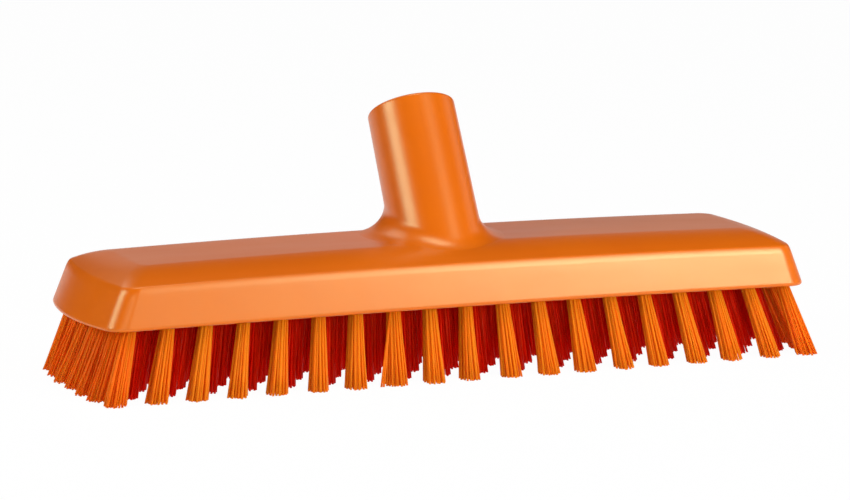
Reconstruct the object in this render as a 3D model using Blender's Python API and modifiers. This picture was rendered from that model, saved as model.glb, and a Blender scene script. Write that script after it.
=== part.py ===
"""Head of a water-fed scrub brush, in metres with +Z up.

One moulded block carries a tilted handle socket, a bore for the handle and a
water passage that leaves under the middle of the block. Its underside holds the
bristle tufts, in one slice of backing for each column of tufts. X runs along
the block, -Y is its front, and the bristle tips stand on z = 0.
"""
import math

import bmesh
import bpy
from mathutils import Matrix, Vector

# Block: heights
BRISTLE_HEIGHT = 0.0240         # tips to the block's bottom edge, at its ends
WALL_HEIGHT = 0.0145            # bottom edge to the crease under the roof
ROOF_RISE = 0.0049              # crease to the flat top
EDGE_CAMBER = 0.0009            # how far the middle of the bottom edge arches up
CREASE_CAMBER = 0.0015
FLAT_CAMBER = 0.0014
ROOF_CROWN = 0.0007             # how far the roof's slopes swell over a flat slope

# Block: plan
BLOCK_LENGTH = 0.270
BLOCK_WIDTH = 0.0655
END_DRAFT = 0.0072              # lean of the end walls, bottom edge to crease
SIDE_DRAFT = 0.0008
END_SLOPE_RUN = 0.0141          # roof slope, crease to flat top, seen from above
SIDE_SLOPE_RUN = 0.0162
EDGE_CORNER_RADIUS = 0.0066
CREASE_CORNER_RADIUS = 0.0053
FLAT_CORNER_RADIUS = 0.0035
EDGE_END_BULGE = 0.0036         # how far the middle of an end stands out
CREASE_END_BULGE = 0.0024
EDGE_FILLET = 0.0016
CREASE_FILLET = 0.0014
FLAT_FILLET = 0.0010

# Handle socket
SOCKET_TILT = 30.5              # degrees, leaning back from the vertical
SOCKET_FOOT_SETBACK = 0.0021    # the axis meets the flat top in front of the middle
SOCKET_LENGTH = 0.0480          # flat top to rim, along the axis
SOCKET_RIM_DIAMETER = 0.0309
SOCKET_FOOT_DIAMETER = 0.0317
SOCKET_FILLET = 0.0098
RIM_ROUNDING = 0.0010
SEAM_DEPTH = 0.0002             # the foot's edge runs out this far under the roof

# Bore and water passage
BORE_DIAMETER = 0.0226
BORE_DEPTH = 0.0438
BORE_CHAMFER = 0.0008
PASSAGE_DIAMETER = 0.0085
OUTLET_FLARE = 0.0007           # widening where the water leaves the block

# Underside
POCKET_END_RIM = 0.0085
POCKET_SIDE_RIM = 0.0014
POCKET_CORNER_RADIUS = 0.0045
BACKING_THICKNESS = 0.0045      # in the middle column
BACKING_RECESS = 0.0003         # underside of the backing, above the bottom edge
OUTLET_BOSS_LENGTH = 0.0126     # front to back
PIECE_GAP = 0.0003              # between neighbouring pieces

# Tufts
TUFT_COLUMNS = 19
TUFT_ROWS = 7
END_COLUMN_INSET = 0.0041       # pocket's end to the middle of the end column
TUFT_ROOT_WIDTH = 0.0050
TUFT_TIP_WIDTH = 0.0090
TUFT_EDGE_MARGIN = 0.0002       # backing left beside the outer rows
END_SPLAY = 0.0068              # tips of the end columns, outward from their roots
SIDE_SPLAY = 0.0065             # the same for the outer rows
END_MIDDLE_REACH = 0.0025       # further splay of the end columns' middle tuft
END_CORNER_DRAW = 0.0018        # and how far their corner tufts stay back
END_BOW_POWER = 4
STRAND_ROOT_GAP = 0.0006        # between the strands of one tuft
STRAND_TIP_GAP = 0.0011
STRAND_EMBED = 0.0015
TIP_TRIM = 0.0005               # strands are made this much too long and cut flat

# Cutting and joining
OVERRUN = 0.0010
MERGE_DISTANCE = 0.00001

# Facets
END_STEPS = 3
CORNER_STEPS = 5
SIDE_STEPS = 7
FILLET_STEPS = 3
SLOPE_STEPS = 4
FOOT_STEPS = 6
SOCKET_SIDES = 48
BORE_SIDES = 40
PASSAGE_SIDES = 20
STRAND_SIDES = 4
STRANDS_IN_TUFT = 3
SEARCH_STEPS = 40
SMOOTH_ANGLE = 28               # degrees

# Colours, from the photograph
MOULDING_COLOUR = (0.78, 0.145, 0.004, 1.0)
FILAMENT_COLOUR = (0.86, 0.17, 0.008, 1.0)
MOULDING_ROUGHNESS = 0.38
FILAMENT_ROUGHNESS = 0.45

# Worked out from the sizes above
EDGE_Z = BRISTLE_HEIGHT
CREASE_Z = EDGE_Z + WALL_HEIGHT
FLAT_Z = CREASE_Z + ROOF_RISE
EDGE_HALF = (BLOCK_LENGTH / 2, BLOCK_WIDTH / 2)
CREASE_HALF = (EDGE_HALF[0] - END_DRAFT, EDGE_HALF[1] - SIDE_DRAFT)
FLAT_HALF = (CREASE_HALF[0] - END_SLOPE_RUN, CREASE_HALF[1] - SIDE_SLOPE_RUN)
POCKET_HALF = (EDGE_HALF[0] - POCKET_END_RIM, EDGE_HALF[1] - POCKET_SIDE_RIM)
COLUMN_PITCH = 2 * (POCKET_HALF[0] - END_COLUMN_INSET) / (TUFT_COLUMNS - 1)
SLICE_HALF = (COLUMN_PITCH / 2 - PIECE_GAP / 2, POCKET_HALF[1] - PIECE_GAP)
OUTER_ROW_Y = SLICE_HALF[1] - TUFT_EDGE_MARGIN - TUFT_ROOT_WIDTH / 2
BACKING_TOP_Z = EDGE_Z + EDGE_CAMBER + BACKING_RECESS + BACKING_THICKNESS
POCKET_TOP_Z = BACKING_TOP_Z + PIECE_GAP
SOCKET_AXIS = Vector((0, math.sin(math.radians(SOCKET_TILT)), math.cos(math.radians(SOCKET_TILT))))
SOCKET_FOOT = Vector((0, -SOCKET_FOOT_SETBACK, FLAT_Z + FLAT_CAMBER))
RIM_CENTRE = SOCKET_FOOT + SOCKET_AXIS * SOCKET_LENGTH
BORE_FLOOR = RIM_CENTRE - SOCKET_AXIS * BORE_DEPTH


def start_clean():
    """Empties the scene and returns the collections for parts and cutters."""
    for item in list(bpy.data.objects):
        bpy.data.objects.remove(item, do_unlink=True)
    parts = bpy.data.collections.new("water_fed_scrub_brush")
    cutters = bpy.data.collections.new("cutters")
    bpy.context.scene.collection.children.link(parts)
    bpy.context.scene.collection.children.link(cutters)
    return parts, cutters


def material(name, colour, roughness):
    made = bpy.data.materials.new(name)
    made.use_nodes = True
    made.diffuse_color = colour
    shader = made.node_tree.nodes["Principled BSDF"]
    shader.inputs["Base Color"].default_value = colour
    shader.inputs["Roughness"].default_value = roughness
    shader.inputs["Metallic"].default_value = 0.0
    return made


def object_from(bm, name, collection, finish=None):
    """Turns a bmesh into an object with outward faces."""
    bmesh.ops.recalc_face_normals(bm, faces=bm.faces)
    mesh = bpy.data.meshes.new(name)
    bm.to_mesh(mesh)
    bm.free()
    made = bpy.data.objects.new(name, mesh)
    collection.objects.link(made)
    if finish:
        mesh.materials.append(finish)
    else:
        made.hide_render = True
        made.display_type = "WIRE"
    return made


def boolean(target, operand, operation):
    step = target.modifiers.new(operation.lower() + " " + operand.name, "BOOLEAN")
    step.operation = operation
    step.solver = "EXACT"
    step.object = operand


# Block outline and loft

def outline(half, radius, bulge):
    """Plan outline of the block, anticlockwise from the middle of the +X end.

    The ends bow out by bulge between the round corners' centres and run smoothly
    into the corners, and the sides are straight. Every outline has as many points.
    """
    half_length, half_width = half
    lean = math.atan2(2 * bulge, half_width - radius)
    reach = half_width - radius * (1 - math.sin(lean))
    centre_x = half_length - radius - bulge
    bow = (half_length - centre_x - radius * math.cos(lean)) / reach ** 2
    quarter = []
    for step in range(END_STEPS):
        y = reach * step / END_STEPS
        quarter.append((half_length - bow * y * y, y))
    for step in range(CORNER_STEPS):
        turn = lean + (math.pi / 2 - lean) * step / CORNER_STEPS
        quarter.append((centre_x + radius * math.cos(turn),
                        half_width - radius + radius * math.sin(turn)))
    for step in range(SIDE_STEPS):
        quarter.append((centre_x * (1 - step / SIDE_STEPS), half_width))
    back = quarter + [(0, half_width)] + [(-x, y) for x, y in reversed(quarter)]
    front = [(x, -y) for x, y in reversed(back[1:-1])]
    return back + front


def ring(half, radius, bulge, z, camber, inset=0):
    """The outline at height z, drawn in by inset and arched up by camber."""
    half_length = half[0]
    points = outline((half_length - inset, half[1] - inset), radius - inset, bulge)
    return [Vector((x, y, z + camber * (1 - (x / half_length) ** 2))) for x, y in points]


def moved(corner, toward, distance):
    """Each point of corner moved toward its partner by distance."""
    return [a + (b - a).normalized() * distance for a, b in zip(corner, toward)]


def bent(before, corner, after, steps):
    """Rings that round off the corner ring between before and after."""
    rings = []
    for step in range(steps + 1):
        t = step / steps
        rings.append([a * (1 - t) ** 2 + b * 2 * t * (1 - t) + c * t ** 2
                      for a, b, c in zip(before, corner, after)])
    return rings


def skin(bm, rings):
    """Joins each ring to the next with a band of quads, and returns their vertices."""
    rows = [[bm.verts.new(point) for point in points] for points in rings]
    for low, high in zip(rows, rows[1:]):
        for i in range(len(low)):
            j = (i + 1) % len(low)
            bm.faces.new((low[i], low[j], high[j], high[i]))
    return rows


def cross_cap(bm, row):
    """Closes an outline: one face at each end, and strips from side to side between."""
    half = len(row) // 2
    end = END_STEPS + 1
    bm.faces.new(row[-end:] + row[:end + 1])
    bm.faces.new(row[half - end:half + end + 1])
    for i in range(end, half - end):
        bm.faces.new((row[i], row[i + 1], row[-i - 1], row[-i]))


def block_body(finish, collection):
    edge = ring(EDGE_HALF, EDGE_CORNER_RADIUS, EDGE_END_BULGE, EDGE_Z, EDGE_CAMBER)
    floor = ring(EDGE_HALF, EDGE_CORNER_RADIUS, EDGE_END_BULGE, EDGE_Z, EDGE_CAMBER, EDGE_FILLET)
    crease = ring(CREASE_HALF, CREASE_CORNER_RADIUS, CREASE_END_BULGE, CREASE_Z, CREASE_CAMBER)
    flat = ring(FLAT_HALF, FLAT_CORNER_RADIUS, 0, FLAT_Z, FLAT_CAMBER)
    top = ring(FLAT_HALF, FLAT_CORNER_RADIUS, 0, FLAT_Z, FLAT_CAMBER, FLAT_FILLET)
    swell = [(a + b) / 2 + Vector((0, 0, 2 * ROOF_CROWN)) for a, b in zip(crease, flat)]
    slope_foot = moved(crease, swell, CREASE_FILLET)
    slope_head = moved(flat, swell, FLAT_FILLET)
    rings = bent(floor, edge, moved(edge, crease, EDGE_FILLET), FILLET_STEPS)
    rings += bent(moved(crease, edge, CREASE_FILLET), crease, slope_foot, FILLET_STEPS)
    rings += bent(slope_foot, swell, slope_head, SLOPE_STEPS)[1:-1]
    rings += bent(slope_head, flat, top, FILLET_STEPS)
    bm = bmesh.new()
    rows = skin(bm, rings)
    cross_cap(bm, rows[0])
    cross_cap(bm, rows[-1])
    return object_from(bm, "brush_block", collection, finish)


# Handle socket

def roof_height(x, y):
    """Height of the flat top, or of the roof's side slope beyond it."""
    flat = FLAT_Z + FLAT_CAMBER * (1 - (x / FLAT_HALF[0]) ** 2)
    crease = CREASE_Z + CREASE_CAMBER * (1 - (x / CREASE_HALF[0]) ** 2)
    down = max(0, (abs(y) - FLAT_HALF[1]) / SIDE_SLOPE_RUN)
    return flat + (crease - flat) * down + 4 * ROOF_CROWN * down * (1 - down)


def socket_point(turn, along, inset=0):
    """Point on the socket's outside, at an angle round the axis."""
    foot, rim = SOCKET_FOOT_DIAMETER / 2, SOCKET_RIM_DIAMETER / 2
    radius = foot + (rim - foot) * along / SOCKET_LENGTH - inset
    back = Vector((0, SOCKET_AXIS.z, -SOCKET_AXIS.y))
    outward = Vector((math.cos(turn), 0, 0)) + back * math.sin(turn)
    return SOCKET_FOOT + SOCKET_AXIS * along + outward * radius


def meets_roof(turn):
    """Where the socket's side at this angle would run into the roof."""
    low, high = -SOCKET_FOOT_DIAMETER, SOCKET_LENGTH
    for _ in range(SEARCH_STEPS):
        middle = (low + high) / 2
        point = socket_point(turn, middle)
        if point.z > roof_height(point.x, point.y):
            high = middle
        else:
            low = middle
    return socket_point(turn, high)


def foot_arc(turn):
    """Points of the fillet from the socket's side down to the roof."""
    corner = meets_roof(turn)
    away = Vector((math.cos(turn), math.sin(turn) * SOCKET_AXIS.z, 0)).normalized()
    room = (CREASE_HALF[1] - CREASE_FILLET - abs(corner.y)) / max(abs(away.y), MERGE_DISTANCE)
    reach = SOCKET_FILLET
    for _ in range(SEARCH_STEPS):
        x, y = corner.x + away.x * reach, corner.y + away.y * reach
        landing = Vector((x, y, roof_height(x, y)))
        out = (landing - corner).normalized()
        half_angle = SOCKET_AXIS.angle(out) / 2
        reach = min(SOCKET_FILLET / math.tan(half_angle), room)
    start = corner + SOCKET_AXIS * reach
    landing = corner + out * reach
    centre = corner + (SOCKET_AXIS + out).normalized() * (reach / math.cos(half_angle))
    sweep = math.pi - 2 * half_angle
    points = []
    for step in range(FOOT_STEPS + 1):
        t = step / FOOT_STEPS
        points.append(centre + (start - centre) * (math.sin((1 - t) * sweep) / math.sin(sweep))
                      + (landing - centre) * (math.sin(t * sweep) / math.sin(sweep)))
    x, y = points[-1].x, points[-1].y
    points[-1] = Vector((x, y, roof_height(x, y) - SEAM_DEPTH))
    return points + [Vector((x, y, CREASE_Z))]


def socket_outside(collection):
    """The socket with its rounded rim and flared foot, as one closed loft."""
    columns = []
    for side in range(SOCKET_SIDES):
        turn = 2 * math.pi * side / SOCKET_SIDES
        rim = []
        for step in range(FILLET_STEPS + 1):
            tip = math.pi / 2 * step / FILLET_STEPS
            rim.append(socket_point(turn, SOCKET_LENGTH - RIM_ROUNDING * (1 - math.cos(tip)),
                                    RIM_ROUNDING * (1 - math.sin(tip))))
        columns.append(rim + foot_arc(turn))
    bm = bmesh.new()
    rows = skin(bm, [list(points) for points in zip(*columns)])
    bm.faces.new(rows[0])
    bm.faces.new(reversed(rows[-1]))
    return object_from(bm, "socket_outside", collection)


def turned(name, profile, sides, collection):
    """Cutter turned round its Z axis from a profile that runs top to bottom."""
    mesh = bpy.data.meshes.new(name)
    mesh.from_pydata([(r, 0, z) for r, z in profile],
                     [(i, i + 1) for i in range(len(profile) - 1)], [])
    made = bpy.data.objects.new(name, mesh)
    collection.objects.link(made)
    made.hide_render = True
    made.display_type = "WIRE"
    screw = made.modifiers.new("turn", "SCREW")
    screw.steps = sides
    screw.render_steps = sides
    screw.use_merge_vertices = True
    screw.merge_threshold = MERGE_DISTANCE
    return made


def bore_cutter(collection):
    """Blind bore from the rim plane down, with a chamfered mouth."""
    radius = BORE_DIAMETER / 2
    profile = [(0, OVERRUN), (radius + BORE_CHAMFER + OVERRUN, OVERRUN),
               (radius, -BORE_CHAMFER), (radius, -BORE_DEPTH), (0, -BORE_DEPTH)]
    cutter = turned("bore", profile, BORE_SIDES, collection)
    cutter.location = RIM_CENTRE
    cutter.rotation_euler = (-math.radians(SOCKET_TILT), 0, 0)
    return cutter


def passage_cutter(collection):
    """Upright water passage from the bore's floor to the outlet under the block."""
    radius = PASSAGE_DIAMETER / 2
    top = BORE_FLOOR.z + radius * math.tan(math.radians(SOCKET_TILT)) + OVERRUN
    mouth = backing_underside(0)
    profile = [(0, top), (radius, top), (radius, mouth + OUTLET_FLARE),
               (radius + OUTLET_FLARE + OVERRUN, mouth - OVERRUN), (0, mouth - OVERRUN)]
    cutter = turned("water_passage", profile, PASSAGE_SIDES, collection)
    cutter.location = (0, BORE_FLOOR.y, 0)
    return cutter


# Underside and backing

def backing_underside(x):
    """Height of the backing's underside, which follows the bottom edge's arch."""
    return EDGE_Z + EDGE_CAMBER * (1 - (x / EDGE_HALF[0]) ** 2) + BACKING_RECESS


def plate(low, high, corner_radius=0, rounded_x=None):
    """Box between two corners, with upright edges rounded at the given x values."""
    bm = bmesh.new()
    bmesh.ops.create_cube(bm, size=1)
    size = [b - a for a, b in zip(low, high)]
    middle = [(a + b) / 2 for a, b in zip(low, high)]
    bmesh.ops.transform(bm, verts=bm.verts, matrix=Matrix.LocRotScale(middle, None, size))
    if rounded_x:
        upright = [edge for edge in bm.edges
                   if abs(edge.verts[0].co.z - edge.verts[1].co.z) > size[2] / 2
                   and any(abs(edge.verts[0].co.x - x) < size[0] / 2 for x in rounded_x)]
        bmesh.ops.bevel(bm, geom=upright, offset=corner_radius, segments=CORNER_STEPS,
                        profile=0.5, affect="EDGES")
    return bm


def pocket_cutter(collection):
    low = (-POCKET_HALF[0], -POCKET_HALF[1], EDGE_Z - OVERRUN)
    high = (POCKET_HALF[0], POCKET_HALF[1], POCKET_TOP_Z)
    bm = plate(low, high, POCKET_CORNER_RADIUS, (low[0], high[0]))
    return object_from(bm, "pocket", collection)


def boss_span():
    """Front and back of the outlet boss, which is centred on the water passage."""
    return (BORE_FLOOR.y - OUTLET_BOSS_LENGTH / 2, BORE_FLOOR.y + OUTLET_BOSS_LENGTH / 2)


def outlet_boss(collection):
    """Part of the block that comes down to the underside round the outlet."""
    front, back = boss_span()
    bm = plate((-SLICE_HALF[0], front, backing_underside(0)),
               (SLICE_HALF[0], back, POCKET_TOP_Z + OVERRUN))
    return object_from(bm, "outlet_boss", collection)


def slice_plate(column, front, back):
    """Slice of backing under one column, with the pocket's corners at the ends."""
    x = column_x(column)
    end = POCKET_HALF[0] - PIECE_GAP
    low = (max(x - SLICE_HALF[0], -end), front, backing_underside(x))
    high = (min(x + SLICE_HALF[0], end), back, BACKING_TOP_Z)
    outer = {0: low[0], TUFT_COLUMNS - 1: high[0]}
    rounded = (outer[column],) if column in outer else None
    return plate(low, high, POCKET_CORNER_RADIUS - PIECE_GAP, rounded)


# Tufts

def column_x(column):
    return (column - (TUFT_COLUMNS - 1) / 2) * COLUMN_PITCH


def row_y(row):
    return OUTER_ROW_Y * (2 * row / (TUFT_ROWS - 1) - 1)


def tuft_tip(column, row):
    """Middle of a tuft's tips. The end columns' tips also stand in a bow."""
    x, y = column_x(column), row_y(row)
    tip_x = x * (1 + END_SPLAY / column_x(TUFT_COLUMNS - 1))
    if column in (0, TUFT_COLUMNS - 1):
        outward = abs(y / OUTER_ROW_Y) ** END_BOW_POWER
        bow = END_MIDDLE_REACH - (END_MIDDLE_REACH + END_CORNER_DRAW) * outward
        tip_x += math.copysign(bow, x)
    return Vector((tip_x, y * (1 + SIDE_SPLAY / OUTER_ROW_Y), 0))


def add_strand(bm, root, tip, root_width, tip_width, turn):
    """Straight strand of rhombic section, from inside the backing to below the trim plane.

    The widths are across the rhombus's short diagonal, which lies at the angle turn.
    """
    rise = root.z + STRAND_EMBED
    fall = tip.z - TIP_TRIM
    slope = (root - tip) / (root.z - tip.z)
    taper = (root_width - tip_width) / (root.z - tip.z)
    middle = tip + slope * ((rise + fall) / 2 - tip.z)
    top_width = tip_width + taper * (rise - tip.z)
    low_width = tip_width + taper * (fall - tip.z)
    lean = Matrix.Identity(4)
    lean[0][2], lean[1][2] = slope.x, slope.y
    stretch = Matrix.Diagonal((1, math.tan(math.pi / STRANDS_IN_TUFT), 1, 1))
    bmesh.ops.create_cone(bm, cap_ends=True, segments=STRAND_SIDES, radius1=low_width / 2,
                          radius2=top_width / 2, depth=rise - fall,
                          matrix=(Matrix.Translation(middle) @ lean
                                  @ Matrix.Rotation(turn, 4, "Z") @ stretch))


def add_tuft(bm, column, row):
    """Three rhombic strands that make a hexagon, opening from the root to the tips."""
    root_middle = Vector((column_x(column), row_y(row), backing_underside(column_x(column))))
    tip_middle = tuft_tip(column, row)
    spread = 2 * math.sin(math.pi / STRANDS_IN_TUFT)
    root_step, tip_step = STRAND_ROOT_GAP / spread, STRAND_TIP_GAP / spread
    root_width = TUFT_ROOT_WIDTH / 2 - root_step
    tip_width = TUFT_TIP_WIDTH / 2 - tip_step
    for strand in range(STRANDS_IN_TUFT):
        turn = 2 * math.pi * strand / STRANDS_IN_TUFT
        outward = Vector((math.cos(turn), math.sin(turn), 0))
        add_strand(bm, root_middle + outward * (root_step + root_width / 2),
                   tip_middle + outward * (tip_step + tip_width / 2),
                   root_width, tip_width, turn)


def trim_tips(bm):
    """Cuts the strands flat where they stand, at z = 0."""
    parts = bm.verts[:] + bm.edges[:] + bm.faces[:]
    bmesh.ops.bisect_plane(bm, geom=parts, plane_co=(0, 0, 0), plane_no=(0, 0, -1),
                           clear_outer=True)
    open_edges = [edge for edge in bm.edges if edge.is_boundary]
    bmesh.ops.holes_fill(bm, edges=open_edges, sides=STRAND_SIDES)


def tuft_strip(name, column, front, back, finish, parts, cutters):
    """Slice of backing with every tuft whose root it can hold."""
    bm = bmesh.new()
    reach = TUFT_ROOT_WIDTH / 2
    for row in range(TUFT_ROWS):
        if front + reach <= row_y(row) <= back - reach:
            add_tuft(bm, column, row)
    trim_tips(bm)
    strands = object_from(bm, name + "_strands", cutters)
    strip = object_from(slice_plate(column, front, back), name, parts, finish)
    boolean(strip, strands, "UNION")
    return strip


def tuft_field(finish, parts, cutters):
    """One strip for each column, in two halves where the outlet boss stands."""
    front, back = -SLICE_HALF[1], SLICE_HALF[1]
    boss_front, boss_back = boss_span()
    for column in range(TUFT_COLUMNS):
        name = "tuft_strip_%02d" % (column + 1)
        if column == TUFT_COLUMNS // 2:
            tuft_strip(name + "_front", column, front, boss_front - PIECE_GAP,
                       finish, parts, cutters)
            tuft_strip(name + "_back", column, boss_back + PIECE_GAP, back,
                       finish, parts, cutters)
        else:
            tuft_strip(name, column, front, back, finish, parts, cutters)


def main():
    parts, cutters = start_clean()
    moulding = material("moulding", MOULDING_COLOUR, MOULDING_ROUGHNESS)
    filament = material("filament", FILAMENT_COLOUR, FILAMENT_ROUGHNESS)
    block = block_body(moulding, parts)
    boolean(block, socket_outside(cutters), "UNION")
    boolean(block, pocket_cutter(cutters), "DIFFERENCE")
    boolean(block, outlet_boss(cutters), "UNION")
    boolean(block, bore_cutter(cutters), "DIFFERENCE")
    boolean(block, passage_cutter(cutters), "DIFFERENCE")
    block.data.shade_smooth()
    block.data.set_sharp_from_angle(angle=math.radians(SMOOTH_ANGLE))
    tuft_field(filament, parts, cutters)


if __name__ == "__main__":
    main()
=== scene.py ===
"""Looks of a water-fed scrub brush head.

A moulded block with a tilted handle socket, the coarse thread inside the socket,
and the filament tufts that stand in its underside. X runs along the block, -Y is
its front, and the filament tips stand on z = 0. Lengths are in metres.
"""

import math
import random

import bmesh
import bpy
from bpy.props import (FloatProperty, FloatVectorProperty, IntProperty,
                       PointerProperty)
from mathutils import Matrix, Vector


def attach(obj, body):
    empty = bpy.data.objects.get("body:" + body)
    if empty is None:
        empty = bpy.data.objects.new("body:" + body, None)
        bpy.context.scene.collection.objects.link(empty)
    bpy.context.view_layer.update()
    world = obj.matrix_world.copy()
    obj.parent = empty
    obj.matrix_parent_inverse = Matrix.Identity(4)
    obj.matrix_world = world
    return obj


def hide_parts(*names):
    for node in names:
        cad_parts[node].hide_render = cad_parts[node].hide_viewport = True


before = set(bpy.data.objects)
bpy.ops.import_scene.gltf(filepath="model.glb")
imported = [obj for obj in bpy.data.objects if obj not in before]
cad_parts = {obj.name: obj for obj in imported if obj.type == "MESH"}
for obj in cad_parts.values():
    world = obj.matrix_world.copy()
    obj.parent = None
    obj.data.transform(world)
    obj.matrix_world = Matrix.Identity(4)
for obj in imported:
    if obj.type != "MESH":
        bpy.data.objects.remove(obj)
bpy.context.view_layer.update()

bl_info = {
    "name": "Water-fed scrub brush head",
    "version": (1, 0, 0),
    "blender": (4, 5, 0),
    "location": "View3D > Sidebar > Scrub Brush",
    "description": "Builds a scrub brush head with its socket, thread and tufts",
    "category": "Add Mesh",
}

# Tuft field
STRIPS = sorted(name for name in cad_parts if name.startswith("tuft_strip_"))
COLUMNS = max(int(name.split("_")[2]) for name in STRIPS)
ROWS = 7
LAST_COLUMN = COLUMNS - 1
LAST_ROW = ROWS - 1
MIDDLE_COLUMN = LAST_COLUMN / 2
MIDDLE_ROW = LAST_ROW // 2
END_COLUMNS = (0, LAST_COLUMN)
SIDE_ROWS = (0, LAST_ROW)
HALF_ROWS = {"front": (0, 1, 2), "back": (4, 5, 6)}
STAGGER = 0.5               # how far odd rows stand further out, in pitches
OUTLET_STAGGER = 0.61       # the same for the two tufts beside the water outlet
END_BOW_POWER = 4           # how square the end columns' bow is
FRONT_LEANS = (0, -1, 2, -2, -1, 5, 0, 3, 4, -5, 2, 2, -3, 1, -2, 2, -5, 6, 0)
LEAN_STEP = 0.0001          # what one of the front tufts' leans stands for

# Facets of the moulding
END_STEPS = 8
CORNER_STEPS = 12
SIDE_STEPS = 24
FILLET_STEPS = 6
CREASE_STEPS = 10
SLOPE_STEPS = 10
FOOT_STEPS = 14
SOCKET_SIDES = 112
BORE_SIDES = 96
PASSAGE_SIDES = 40
HOLE_SIDES = 20
SEARCH_STEPS = 40
SMOOTH_ANGLE = math.radians(28)

# Small lengths
OVERRUN = 0.001             # a cutter's reach past what it cuts
MERGE_DISTANCE = 0.00001    # a length that is as good as nothing
SEAM_DEPTH = 0.0001         # the socket foot's edge under the roof

# Thread, whose section is given as shares of its height, crest and base
THREAD_STEPS = 72
THREAD_TAPER_TURNS = 0.5
THREAD_SHOULDER_HEIGHT = 0.85
THREAD_SHOULDER_WIDTH = 1.25
THREAD_CREST_WIDTH = 0.7
THREAD_WALL_WIDTH = 1.1
THREAD_WALL_DEPTH = MERGE_DISTANCE * 4

# Filaments
FILAMENT_SIDES = 6
FILAMENT_SPANS = 3
GOLDEN_TURN = math.pi * (3 - math.sqrt(5))
TIP_WIDTHS = (0.96, 1.05)   # range of a tuft's width at its tips, as a share
TIP_WANDER = 1.6            # how far a tip strays, in wanders
TIP_SHORTFALL = 3           # the most that a tip falls short, in unevennesses
STRAY_REACHES = (0.86, 1.0)
STRAY_ROOT_SHARE = 0.7

# Tones of the filaments, from 0 for the lightest to 1 for the deepest. The inner tufts'
# deepest tones are painted shade between the tufts; the side rows and the end columns
# vary at random in lighter tones.
TONE_AND_SHADE_ATTRIBUTE = "filament_tone"
SIDE_TONES = (0, 0.22)
END_TONES = (0.18, 0.42)
# painted shade: the inner tufts get the deep red that stands in for the shade between the
# tufts
INNER_PAINTED_SHADE_TONES = (0.93, 1)

# Noises of the finishes: scale, detail and stretch along each axis
SLOW_TONE = (28, 2)
FINE_GRAIN = (2600, 3)
WAVES = (110, 1)
FLOW_LINES = (60, 3, (0.25, 1.6, 5.0))
STREAKS = (900, 2, (1, 1, 0.12))

# Lowest and highest value that each noise is read over
TONE_SPAN = (0.35, 0.65)
FLOW_SPAN = (0.2, 0.8)
STREAK_SPAN = (0.3, 0.7)

# Bumps of the finishes: distance and strength
WAVE_BUMP = (0.00008, 0.5)
GRAIN_BUMP = (0.00001, 0.6)
STREAK_BUMP = (0.000008, 0.5)

# Gloss of the finishes
SPECULAR_LEVEL = 0.5
MOULDING_IOR = 1.6
MOULDING_TINT = (0.80, 1, 0.55, 1)
MOULDING_ROUGHNESS_SPREAD = 0.03
FILAMENT_IOR = 1.5
FILAMENT_TINT = (1, 0.35, 0.2, 1)
FILAMENT_ROUGHNESS_SPREAD = 0.08

# Softboxes: turn to the right of the front and rise, in degrees, distance from the
# target, and size
SOFTBOXES = {
    "low": (31, 0.5, 1.1, (0.30, 0.09)),
    "key": (27, 23, 1.2, (0.34, 0.80)),
    "high": (33, 50, 1.3, (0.50, 0.30)),
    "fill": (-26, 2.5, 1.8, (1.20, 0.15)),
    "left": (-92, 23, 1.1, (0.55, 0.35)),
    "right": (95, 20, 1.2, (0.60, 0.35)),
    "top": (0, 84, 1.2, (0.6, 0.5)),
    "rear": (205, 46, 1.2, (0.60, 0.40)),
    "edge": (28, 13, 1.2, (0.40, 0.05)),
    "back": (156, 12, 1.4, (1.0, 0.5)),
}

# World and camera
HORIZON_RISE = (0.12, 0.42)  # heights between which the light changes over
SENSOR_WIDTH = 36           # in millimetres
CLIP_END = 60


def length(name, default, description):
    """A length setting, in metres."""
    return FloatProperty(name=name, description=description, default=default,
                         unit="LENGTH", subtype="DISTANCE", precision=5)


def angle(name, default, description):
    """An angle setting, whose default is given in degrees."""
    return FloatProperty(name=name, description=description,
                         default=math.radians(default), unit="ROTATION", subtype="ANGLE")


def power(name, default, description):
    """A lamp's power setting, in watts."""
    return FloatProperty(name=name, description=description, default=default,
                         min=0, unit="POWER")


def share(name, default, description):
    """A setting from 0 to 1."""
    return FloatProperty(name=name, description=description, default=default,
                         min=0, max=1, subtype="FACTOR")


def colour(name, default, description):
    """A colour setting, in linear red, green and blue."""
    return FloatVectorProperty(name=name, description=description, default=default,
                               min=0, max=1, subtype="COLOR")


# Settings

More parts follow.
